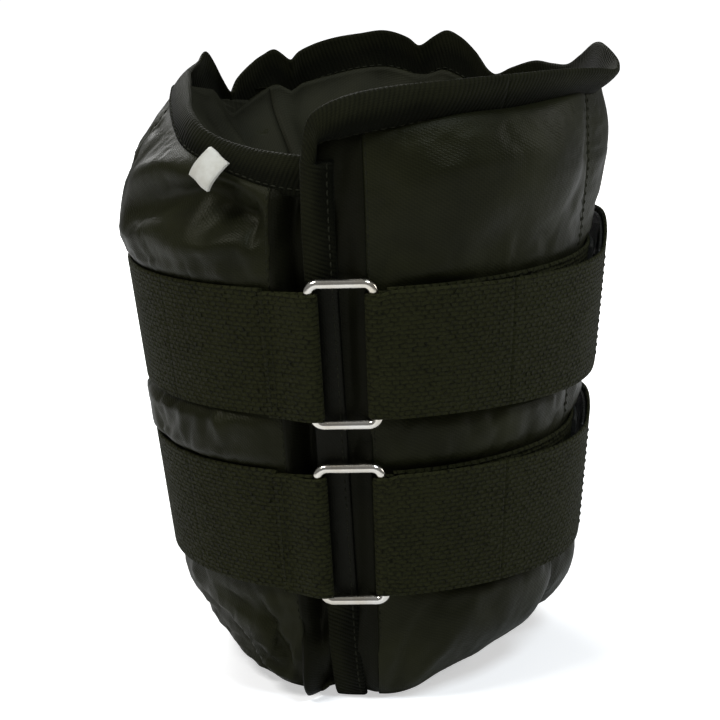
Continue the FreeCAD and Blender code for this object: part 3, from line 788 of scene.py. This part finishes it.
def lining_sheet(name, k, columns=44):
    """Lining over a pad's inside, as a thin closed sheet."""
    start, stop = FIRST + k * PITCH + LINING_MARGIN, FIRST + (k + 1) * PITCH - LINING_MARGIN
    angles = np.linspace(start, stop, columns)
    rows = outer_profile(angles[:2])[0].shape[1]
    radius, height = inner_profile(angles, rows)
    front = polar(angles[:, None], radius - 0.9, height)
    back = polar(angles[:, None], radius + 0.2, height)
    points = join(front, back[::-1]).transpose(1, 0, 2)
    u = np.radians(join(angles, angles[::-1])) * 0.06
    return tube(name, points, uv_grid(u[None, :], np.linspace(0, 0.26, rows)[:, None]))


def held_weights(obj, k):
    """1 where a pad's cloth is sewn or strapped down, 0 where it may billow."""
    points = np.empty(len(obj.data.vertices) * 3)
    obj.data.vertices.foreach_get("co", points)
    x, y, z = points.reshape(-1, 3).T * 1000
    angle, radius = np.degrees(np.arctan2(x, -y)) % 360, np.hypot(x, y)
    angle = np.where(angle < FIRST - 2, angle + 360, angle)
    _, _, _, seam_z = rim(angle)
    share = (angle - FIRST - k * PITCH) / PITCH
    free = smooth((share - 0.015) / 0.05) * smooth((0.985 - share) / 0.05)
    free = free * (1 - strap_grip(z)) * smooth((seam_z - z - 2) / 7) * smooth((z - 6) / 14)
    free = free * (radius > cone(np.minimum(z, 200)) - 24 - 60 * smooth((z - 195) / 40))
    return 1 - free


def billow(covers, frames=18, limit=0.0035):
    """Lets the covers' cloth swell and crease with a cloth simulation, moving by less than the limit."""
    for k, obj in enumerate(covers):
        group = obj.vertex_groups.new(name="held")
        for index, weight in enumerate(held_weights(obj, k)):
            group.add([index], float(weight), "REPLACE")
        cloth = obj.modifiers.new("cloth", "CLOTH")
        use = cloth.settings
        use.quality = 7
        use.mass = 0.12
        use.tension_stiffness = use.compression_stiffness = 18
        use.shear_stiffness = 8
        use.bending_stiffness = 1.5
        use.use_pressure = True
        use.uniform_pressure_force = 2.2
        use.shrink_min = -0.03
        use.effector_weights.gravity = 0
        use.vertex_group_mass = "held"
        cloth.collision_settings.use_collision = False
        cloth.point_cache.frame_start, cloth.point_cache.frame_end = 1, frames
    for step in range(1, frames + 1):
        bpy.context.scene.frame_set(step)
    graph = bpy.context.evaluated_depsgraph_get()
    for obj in covers:
        count = len(obj.data.vertices)
        before, after = np.empty(count * 3), np.empty(count * 3)
        obj.data.vertices.foreach_get("co", before)
        obj.evaluated_get(graph).data.vertices.foreach_get("co", after)
        move = (after - before).reshape(-1, 3)
        place = before.reshape(-1, 3)
        # swelling counts for less than creasing, and the limit is met softly
        outward = unit(join(place[:, :2], 0 * place[:, 2:], axis=-1))
        rise = (move * outward).sum(-1, keepdims=True)
        move = move - outward * np.maximum(rise, 0) * 0.55
        size = np.linalg.norm(move, axis=-1, keepdims=True)
        move = np.where(np.isfinite(move), move, 0) * (limit * np.tanh(size / limit) / np.maximum(size, 1e-9))
        obj.data.vertices.foreach_set("co", before + move.ravel())
        obj.modifiers.clear()
        obj.vertex_groups.clear()
        obj.data.update()
    bpy.context.scene.frame_set(1)


def sew_seams(cover, k, aside=0.9):
    """Row of stitches up each side of a pad, close to its seam, from the foot's rounding to the top."""
    for angle in (FIRST + k * PITCH + aside, FIRST + (k + 1) * PITCH - aside):
        radius, height = outer_profile(np.array([angle]))
        line = np.stack([radius[0], height[0]], -1)[UNDER_ROWS + FOOT_ROWS - 1 :]
        facing = unit(np.gradient(line, axis=0))
        path = polar(angle, line[:, 0] - 0.12, line[:, 1])
        sew(cover, path, unit(polar(angle, facing[:, 1], -facing[:, 0])), radius=0.24)


covers = []
for k, pad in enumerate(PADS):
    covers.append(dress(pad_shell(f"cover_{pad}", k, columns=64), COVER))
    weld(covers[-1])
billow(covers)
for k, pad in enumerate(PADS):
    body = f"{pad}_pad"
    sew_seams(covers[k], k)
    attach(covers[k], body)
    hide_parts(f"outer_cover_{pad}")
    put(lining_sheet(f"lining_{pad}", k), LINING, body, f"inner_lining_{pad}")
    weld(put(pad_shell(f"pouch_{pad}", k, 9.0), FILM, body, f"sand_pouch_{pad}"))
    weld(put(pad_shell(f"sand_{pad}", k, 10.2), SAND, body, f"sand_fill_{pad}"))

# ---- tapes along the top edge and up the right flap


def flap_radius(angle, height, offset):
    """Radius of a flap's cloth, drawn in to the top seam near its top and under at its foot."""
    _, _, seam_r, seam_z = rim(angle)
    drop = look_up(SHOULDER, angle)
    low = seam_z - drop
    climb = np.clip((height - low) / drop, 0, 1)
    base = cone(np.minimum(height, low)) + offset
    under = np.clip((30 - height) / 30, 0, 1)
    over = np.sqrt(1 - climb**2) ** look_up(SLOPE, angle)
    return seam_r + (base - seam_r) * over - 9 * (1 - np.sqrt(1 - under**2))


def rim_tape(name, angles):
    """Tape folded over the top edge, wider at the two deepest dips at the back."""
    edge_r, edge_z, seam_r, seam_z = rim(angles)
    edge = polar(angles, edge_r, edge_z)
    inward = polar(angles, seam_r, seam_z) - edge
    deep = np.exp(-(((angles - 222) / 9) ** 2)) + np.exp(-(((angles - 201) / 7) ** 2))
    width = 1000 * np.linalg.norm(inward, axis=-1) + HEM + 1.5 * deep
    obj = dress(folded_tape(name, edge, inward, width, belly=1.0), TAPE)
    sew_tape(obj, edge, inward, width, 1.0, both=True)
    return obj


def seam_span(angle, height, reach=4.0):
    """Where a blend across the seam at an angle starts and ends, a few millimetres either side of it."""
    radius = cone(120)
    turn = math.degrees(reach / radius)
    start, end = [tuple(polar(angle + side * turn, radius, height)) for side in (-1, 1)]
    return {"start": start, "end": end}


def across_seam(obj, k, height, *nodes):
    """Bakes obj's transform into its mesh at the seam of pads k and k + 1, standing for the CAD nodes named.
    """
    seam_span(SEAMS[k], height)
    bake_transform(obj)
    if nodes:
        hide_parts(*nodes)


def right_edge_path():
    """Path of the tape up the right flap's free edge, round its corner and along the rim."""
    heights = join(np.linspace(1.5, 190, 90), np.linspace(193, 213, 10))
    radius = flap_radius(np.full_like(heights, RIGHT_EDGE), heights, RIGHT_OFFSET)
    edge_up = polar(RIGHT_EDGE, radius, heights)
    sideways = polar(RIGHT_EDGE + 90, 1.0, 0 * heights)
    angles = join(np.linspace(RIGHT_EDGE, -2, 12)[1:], np.linspace(-1.5, MIDDLES[0], 46))
    edge_r, edge_z, seam_r, seam_z = rim(angles)
    edge_over = polar(angles, edge_r, edge_z)
    inward = unit(polar(angles, seam_r, seam_z) - edge_over)
    turn = smooth((angles - RIGHT_EDGE - 0.3) / 9)
    inward = unit(inward * turn[:, None] + sideways[:1] * (1 - turn[:, None]))
    edge = join(edge_up, edge_over)
    corner, past = 80, 125
    for _ in range(6):
        beside = edge[corner - 1 : past - 1] + edge[corner + 1 : past + 1]
        edge[corner:past] = (beside + edge[corner:past]) / 3
    reach = np.hypot(seam_r - edge_r, seam_z - edge_z) + HEM
    width = join(np.full(len(heights), BINDING_WIDTH), BINDING_WIDTH + (reach - BINDING_WIDTH) * turn)
    belly_up = 0.3 + 2.7 * smooth((heights - 190) / 25)
    belly_over = 3.0 + 3.4 * np.exp(-(((angles - 5) / 13) ** 2)) - 2.0 * smooth((angles - 22) / 17)
    return edge, join(sideways, inward), width, join(belly_up, belly_over)


def right_edge_tape():
    """Tape of the right flap and pad, its stretch between the straps darkened with painted shade."""
    edge, inward, width, belly = right_edge_path()
    tape = dress(folded_tape("edge_tape_right", edge, inward, width, belly), TAPE)
    tape.data.materials.append(PAINTED_SHADE_TAPE)
    for face in tape.data.polygons:
        # faces between the straps near the front take the darker copy of the tape: painted shade
        face.material_index = int(0.048 < face.center.z < 0.172 and abs(face.center.x) < 0.02)
    sew_tape(tape, edge, inward, width, belly)
    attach(tape, "right_front_pad")
    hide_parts("right_flap_binding", "top_binding_right_front")


right_edge_tape()
for k in range(4):
    tape = rim_tape(f"top_tape_{k + 1}", np.linspace(MIDDLES[k], MIDDLES[k + 1], 110))
    across_seam(tape, k, 230.0, f"top_binding_{PADS[k + 1]}")
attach(rim_tape("top_tape_5", np.linspace(MIDDLES[4], 363, 70)), "left_front_pad")

# ---- webs behind the seams


def seam_web(name, k, half_width=6.0, columns=17):
    """Strip of cloth that keeps two pads joined behind their seam, from the foot to the top tape."""
    radius, height = [side[:, UNDER_ROWS:] for side in outer_profile(np.array([SEAMS[k]]))]
    angles = SEAMS[k] + np.degrees(np.linspace(-half_width, half_width, columns) / 90)[:, None]
    front = polar(angles, radius - 0.9, np.maximum(height, 2.4))
    back = polar(angles, radius - 1.9, np.maximum(height, 2.4))
    points = join(front, back[:, ::-1], axis=1)
    u = join(height[0], height[0][::-1]) * 0.001
    return tube(name, points, uv_grid(u[None, :], angles * 0.0016))


for k in range(4):
    across_seam(dress(seam_web(f"seam_web_{k + 1}", k), COVER), k, 120.0)

# ---- flaps


def flap_sheet(name, angles, offset_of, bottom, folded):
    """Cloth of a flap between its pad and its bound edge, as a thin closed sheet."""
    share = np.linspace(0, 1, 90)[:, None]
    _, _, _, seam_z = rim(angles)
    height = bottom(angles)[None, :] * (1 - share) + (seam_z[None, :] + 3) * share
    radius = flap_radius(angles[None, :] + 0 * height, height, offset_of(angles)[None, :])
    radius = radius + folded(angles[None, :], height)
    front, back = polar(angles, radius + 0.5, height), polar(angles, radius - 0.9, height)
    u = np.radians(join(angles, angles[::-1])) * UV_RADIUS
    return tube(name, join(front, back[:, ::-1], axis=1), uv_grid(u[None, :], share * 0.24))


right_dips = Folds([
    (-1, 200, 80, 22, 3.5, -2.0), (1, 160, 88, 40, 3, -1.2),
    (2, 110, 60, 10, 3, -1.5), (1, 30, 75, 20, 3, 1.5),
])
left_dips = Folds([
    (-12, 196, 70, 14, 3, -2.5), (-12, 110, 80, 10, 3, -1.6),
    (-12, 16, 62, 20, 7, 7.0), (-14, 30, -30, 12, 3, -2.0),
])
# both flaps wear the darker cloth copy that paints the closure's shade
flap = flap_sheet(
    "right_flap_cloth",
    np.linspace(RIGHT_EDGE + 0.6, FIRST + 0.3, 26),
    lambda a: RIGHT_OFFSET * (1 - smooth((a - 0.5) / (FIRST - 0.5))),
    lambda a: 3.0 + 0 * a,
    right_dips,
)
put(flap, PAINTED_SHADE_FLAP_CLOTH, "right_front_pad", "right_flap")
flap = flap_sheet(
    "left_flap_cloth",
    np.linspace(LAST - 360.3, LEFT_EDGE, 30) + 360,
    lambda a: LEFT_OFFSET * smooth((a - LAST) / 5),
    lambda a: 2.6 + 4 * smooth((a - LAST - 8) / 10),
    lambda a, z: left_dips(a - 360, z),
)
put(flap, PAINTED_SHADE_FLAP_CLOTH, "left_front_pad", "left_flap")
heights = np.linspace(8, 205, 90)
edge = polar(LEFT_EDGE, flap_radius(np.full_like(heights, LEFT_EDGE + 360), heights, LEFT_OFFSET), heights)
tape = folded_tape("edge_tape_left", edge, -polar(LEFT_EDGE + 90, 1.0, 0 * heights), BINDING_WIDTH)
put(tape, TAPE, "left_front_pad", "left_flap_binding")

# ---- tapes under the pads


def foot_tape(k, angles, raise_end=False):
    """Tape on the bottom edge, lying under the pads; by the closure its end may rise and come out."""
    raised = smooth((angles - 318) / 26) if raise_end else 0 * angles
    radius = HOLE + 4 + 19.5 * raised + (0.8 + 1.2 * raised) * np.sin(np.radians(angles * 23))
    height = 1.3 + (3.5 + 2 * np.sin(np.radians(angles * 31))) * raised
    edge = polar(angles, radius, height)
    inner = polar(angles, radius - 10 + 4 * raised, height + 0.4 + 5 * raised)
    tape = folded_tape(f"foot_tape_{k}", edge, inner - edge, BINDING_WIDTH)
    return dress(tape, TAPE)


tape = foot_tape(1, np.linspace(FIRST, MIDDLES[0], 30))
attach(tape, "right_front_pad")
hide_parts("bottom_binding_right_front")
for k in range(4):
    tape = foot_tape(k + 2, np.linspace(MIDDLES[k], MIDDLES[k + 1], 60))
    across_seam(tape, k, 2.0, f"bottom_binding_{PADS[k + 1]}")
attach(foot_tape(6, np.linspace(MIDDLES[4], 352, 50), raise_end=True), "left_front_pad")

# ---- straps, tabs and tails

BASE_OFFSET = 0.95  # how far past the cone the middle of a strap's webbing lies
OVER_BASE = BASE_OFFSET + 1.55  # and of whatever lies on a strap
TAIL_OFFSET = 6.45
TAIL_LAID = TAIL_OFFSET + 0.03
BEND = 2.85  # radius of the webbing's middle round a ring's wire
WIRE_RADIUS = 1.9
TAB_SPAN = 11.6  # angle from a ring's left bar to the end of its tab
PATCH_START, HOOKS_END, LOOPS_END, TAIL_END = 81, 109, 134, 112


def bar(strap, side):
    """Angle and offset of a ring's long bar; side is -1 for the left bar."""
    low, high = [1000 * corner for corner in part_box(f"{strap}_ring")]
    half = (high.x - low.x) / 2 - WIRE_RADIUS
    y = (low.y + high.y) / 2
    return side * math.degrees(math.atan2(half, -y)), math.hypot(half, y) - cone(sum(STRAPS[strap]) / 2)


def around_bar(angle, offset, strap, side, steps=13):
    """Half circle round a bar, from its inner side to its outer side, as angles and offsets."""
    middle = cone(sum(STRAPS[strap]) / 2)
    turn = np.radians(np.linspace(-90, 90, steps))
    return angle - side * np.degrees(BEND * np.cos(turn) / (middle + offset)), offset + BEND * np.sin(turn)


def stand_off(angles):
    """Slack in a tail as it goes round the right side, until its end is hooked down on the strap again."""
    return 1.2 * smooth((angles - 40) / 35) - 1.2 * smooth((angles - 93) / 14)


def droop(angles, strap):
    """How far a tail sags below its strap as it goes round the right side, and its end rides up."""
    rise = {"upper": 11.0, "lower": 8.0}[strap]
    return -2.0 * smooth((angles - 20) / 50) + rise * smooth((angles - 78) / 22)


def strap_front(strap):
    """The strap under its tail, up to the ring's right bar, and the bight round that bar."""
    right_angle, right_offset = bar(strap, 1)
    middle = sum(STRAPS[strap]) / 2
    angles = np.linspace(MIDDLES[0], right_angle + 3, 40)
    rise = smooth((right_angle + 6 - angles) / 3.5)
    inner = BASE_OFFSET + (right_offset - BEND - BASE_OFFSET) * rise
    under = webbing(f"{strap}_strap_front", angles, inner, strap)
    put(under, WEBBING, "right_front_pad", f"{strap}_strap_right_front")
    bend_a, bend_o = around_bar(right_angle, right_offset, strap, 1)
    lead = np.linspace(right_angle + 3, right_angle + 0.25, 5)
    path_a = join(lead, bend_a, lead[::-1][1:])
    path_o = join(np.full(5, inner[-1]), bend_o, np.full(4, TAIL_OFFSET))
    bight = webbing(f"{strap}_bight", path_a, path_o, strap, width=48.5, lift=-0.5)
    dress(bight, WEBBING)
    wire = cone(middle) + right_offset
    start, end = [tuple(polar(right_angle, wire + side * 2.5, middle)) for side in (-1, 1)]
    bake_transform(bight)
    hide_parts(f"{strap}_strap_bight")


def tail(strap):
    """The tail, laid back over the strap and round the right side, in two lengths."""
    right_angle, _ = bar(strap, 1)
    angles = np.linspace(right_angle + 0.3, MIDDLES[0], 60)
    pinch = 1 - 0.04 * (1 - smooth((angles - right_angle - 1) / 3))
    path = TAIL_LAID + stand_off(angles)
    near = webbing(f"{strap}_tail_near", angles, path, strap, pinch=pinch, lift=droop(angles, strap))
    put(near, WEBBING, f"{strap}_tail_front", f"{strap}_tail_front")
    angles = np.linspace(MIDDLES[0], TAIL_END, 70)
    path = TAIL_LAID + stand_off(angles)
    far = dress(webbing(f"{strap}_tail_far", angles, path, strap, lift=droop(angles, strap)), WEBBING)
    for row in (PATCH_START + 1, HOOKS_END - 1, TAIL_END - 1.4):
        sew_strap(far, row, TAIL_LAID + stand_off(row), strap, droop(row, strap))
    seam_span(SEAMS[0], sum(STRAPS[strap]) / 2)
    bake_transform(far)
    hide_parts(f"{strap}_tail_end")


def strap_round(strap, aside=0.9):
    """The strap sewn round the pads, stitched on either side of each seam."""
    for k in range(4):
        angles = np.linspace(MIDDLES[k], MIDDLES[k + 1], 80)
        run = webbing(f"{strap}_strap_{k + 1}", angles, np.full(80, BASE_OFFSET), strap)
        dress(run, WEBBING)
        for side in (-aside, aside):
            sew_strap(run, SEAMS[k] + side, BASE_OFFSET, strap)
        across_seam(run, k, sum(STRAPS[strap]) / 2, f"{strap}_strap_{PADS[k + 1]}")
    tab_end = bar(strap, -1)[0] - TAB_SPAN
    angles = np.linspace(MIDDLES[4], tab_end + 360.4, 30)
    run = webbing(f"{strap}_strap_5", angles, np.full(30, BASE_OFFSET), strap)
    put(run, WEBBING, "left_front_pad")


def ring_tab(strap):
    """The tab that holds the ring, folded round its left bar and sewn on itself."""
    left_angle, left_offset = bar(strap, -1)
    tab_end = left_angle - TAB_SPAN
    bend_a, bend_o = around_bar(left_angle, left_offset, strap, -1)
    lead = np.linspace(tab_end, left_angle - 0.25, 12)
    ease = smooth((lead - tab_end - 2.0) / (left_angle - tab_end - 2.0))
    under = BASE_OFFSET + (left_offset - BEND - BASE_OFFSET) * ease
    over = OVER_BASE + (left_offset + BEND - OVER_BASE) * ease
    path_a = join(lead, bend_a, lead[::-1])
    path_o = join(under, bend_o, over[::-1])
    tab = webbing(f"{strap}_tab", path_a, path_o, strap, width=49.5, lift=-0.9)
    put(tab, WEBBING, "left_front_pad", f"{strap}_ring_tab")
    for row in (0.9, 2.3):
        sew_strap(tab, tab_end + row, OVER_BASE, strap)


def patches(strap):
    """Hook patch under the tail's end, and loop patch on the strap below it."""
    angles = np.linspace(PATCH_START, HOOKS_END, 24)
    path = TAIL_OFFSET - 1.6 + stand_off(angles)
    hook = webbing(f"{strap}_hooks", angles, path, strap, thickness=1.7, width=46, lift=droop(angles, strap))
    put(hook, HOOKS, f"{strap}_tail_end", f"{strap}_hook_patch")
    angles = np.linspace(PATCH_START, LOOPS_END, 40)
    loop = webbing(f"{strap}_loops", angles, np.full(40, OVER_BASE), strap, width=47)
    put(loop, LOOPS, "right_back_pad", f"{strap}_loop_patch")


for strap in ("upper", "lower"):
    strap_front(strap)
    tail(strap)
    strap_round(strap)
    ring_tab(strap)
    patches(strap)
    ring = frame["nodes"][f"{strap}_ring"].data
    ring.materials.clear()
    ring.materials.append(WIRE)

# ---- care label


def care_label(angle=331.0, top=218.6, turn=-31, width=10.6, drop=11.5):
    """Blank satin label folded once, hanging out from under the top tape."""
    across, down = np.linspace(-width / 2, width / 2, 9)[:, None], np.linspace(0, drop, 13)[None, :]
    bulge = 0.8 + 2.6 * np.sin(np.pi * down / 14) + 0.3 * np.sin(across * 0.7)
    front = np.stack(np.broadcast_arrays(across, down, bulge), -1)
    back = front[:, ::-1].copy()
    back[..., 2] -= 1.5
    ring = join(front, back, axis=1)
    c, s = math.cos(math.radians(turn)), math.sin(math.radians(turn))
    x, y = ring[..., 0] * c + ring[..., 1] * s, ring[..., 0] * s - ring[..., 1] * c
    radius = 90.5 - 0.35 * y + ring[..., 2]
    return tube("label", polar(angle + np.degrees(x / 88), radius, top + y), ring[..., :2] * 0.001)


put(care_label(), LABEL, "left_front_pad", "care_label")

# ---- floor, light and camera

scene = bpy.context.scene
scene.view_settings.view_transform = "Standard"
scene.view_settings.look = "None"


def backdrop(name, colour, rough, glow):
    """Pale matte paper that looks white away from the object; its glow is seen by the camera only."""
    n = Nodes(name)
    seen = n.node("ShaderNodeLightPath").outputs["Is Camera Ray"]
    away = n.node("ShaderNodeVectorMath", {"operation": "LENGTH"}, i0=n.place()).outputs["Value"]
    fade = n.node("ShaderNodeMapRange", Value=away, From_Min=0.12, From_Max=0.5, To_Min=glow, To_Max=0.9)
    return n.finish(
        Base_Color=(*colour, 1),
        Roughness=rough,
        Specular_IOR_Level=0.0,
        Emission_Color=(1, 1, 1, 1),
        Emission_Strength=n.math("MULTIPLY", seen, fade.outputs[0]),
    )


bpy.ops.mesh.primitive_plane_add(size=12)
floor = bpy.context.object
floor.name = "floor"
floor.data.materials.append(backdrop("floor_paper", (0.9, 0.9, 0.9), 0.9, 0.5))


def studio(lit, seen):
    """White surroundings: lit is their strength on the object, seen their strength in the picture."""
    world = bpy.data.worlds.new("studio")
    scene.world = world
    world.use_nodes = True
    tree = world.node_tree
    background = tree.nodes["Background"]
    path = tree.nodes.new("ShaderNodeLightPath")
    mix = tree.nodes.new("ShaderNodeMix")
    tree.links.new(path.outputs["Is Camera Ray"], mix.inputs[0])
    mix.inputs[2].default_value = lit
    mix.inputs[3].default_value = seen
    tree.links.new(mix.outputs[0], background.inputs[1])
    background.inputs[0].default_value = (1, 1, 1, 1)


def softbox(name, place, aim, size, power, colour=(1, 1, 1)):
    """Square lamp at a place, aimed at a height on the cuff's axis."""
    light = bpy.data.lights.new(name, "AREA")
    light.shape = "RECTANGLE"
    light.size = light.size_y = size
    light.energy = power
    light.color = colour
    lamp = bpy.data.objects.new(name, light)
    lamp.location = place
    lamp.rotation_euler = (Vector((0, 0, aim)) - Vector(place)).to_track_quat("-Z", "Y").to_euler()
    scene.collection.objects.link(lamp)


studio(0.17, 1.0)
softbox("key", (-0.85, -0.7, 1.75), 0.12, 0.6, 17)
softbox("top_fill", (0.7, -0.75, 1.6), 0.18, 0.5, 12, (0.82, 0.91, 1.0))
softbox("back_fill", (-0.5, 1.2, 0.9), 0.12, 0.7, 14)
softbox("side_fill", (1.4, 0.3, 0.7), 0.1, 0.6, 5)

AZIMUTH = math.radians(4.3)
DISTANCE, EYE, PITCH_DOWN, ROLL = 0.7655, 0.3137, 0.2473, 0.037
camera_data = bpy.data.cameras.new("camera")
camera_data.lens = 94.8
camera_data.sensor_width = 36
camera_data.shift_x = -0.004
camera = bpy.data.objects.new("camera", camera_data)
scene.collection.objects.link(camera)
camera.location = (DISTANCE * math.sin(AZIMUTH), -DISTANCE * math.cos(AZIMUTH), EYE)
level = math.cos(PITCH_DOWN)
forward = Vector((-math.sin(AZIMUTH) * level, math.cos(AZIMUTH) * level, -math.sin(PITCH_DOWN)))
aim = forward.to_track_quat("-Z", "Y").to_matrix().to_4x4()
camera.rotation_euler = (aim @ Matrix.Rotation(-ROLL, 4, "Z")).to_euler()
scene.camera = camera
